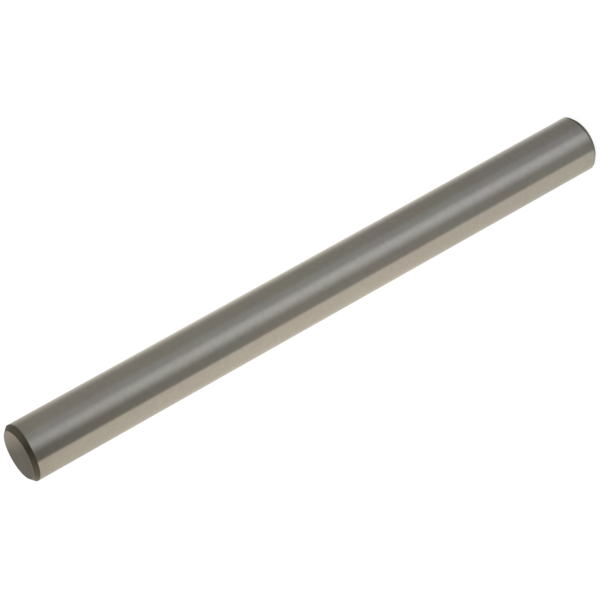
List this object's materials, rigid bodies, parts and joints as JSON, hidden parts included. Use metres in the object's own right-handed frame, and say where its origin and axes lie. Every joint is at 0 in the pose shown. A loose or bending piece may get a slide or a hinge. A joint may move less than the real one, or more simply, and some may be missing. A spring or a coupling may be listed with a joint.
{
  "type": "fuel pump pushrod",
  "caption": "Straight solid steel pushrod, ground smooth on the outside, with flat end faces and a small dark chamfer at each end; passes a cam's stroke to a pump lever.",
  "frame": {"origin": "centre of the lower end face, the one that the rod stands on", "axes": "+Z along the rod's axis, from the lower end face to the upper one; the rod is round, so X and Y are any two square directions"},
  "size_m": [0.0126, 0.0126, 0.1461],
  "materials": {
    "ground_steel": "satin, centreless-ground shaft, dull dark chamfers"
  },
  "bodies": {
    "root": {"pushrod": "ground_steel"}
  },
  "joints": []
}
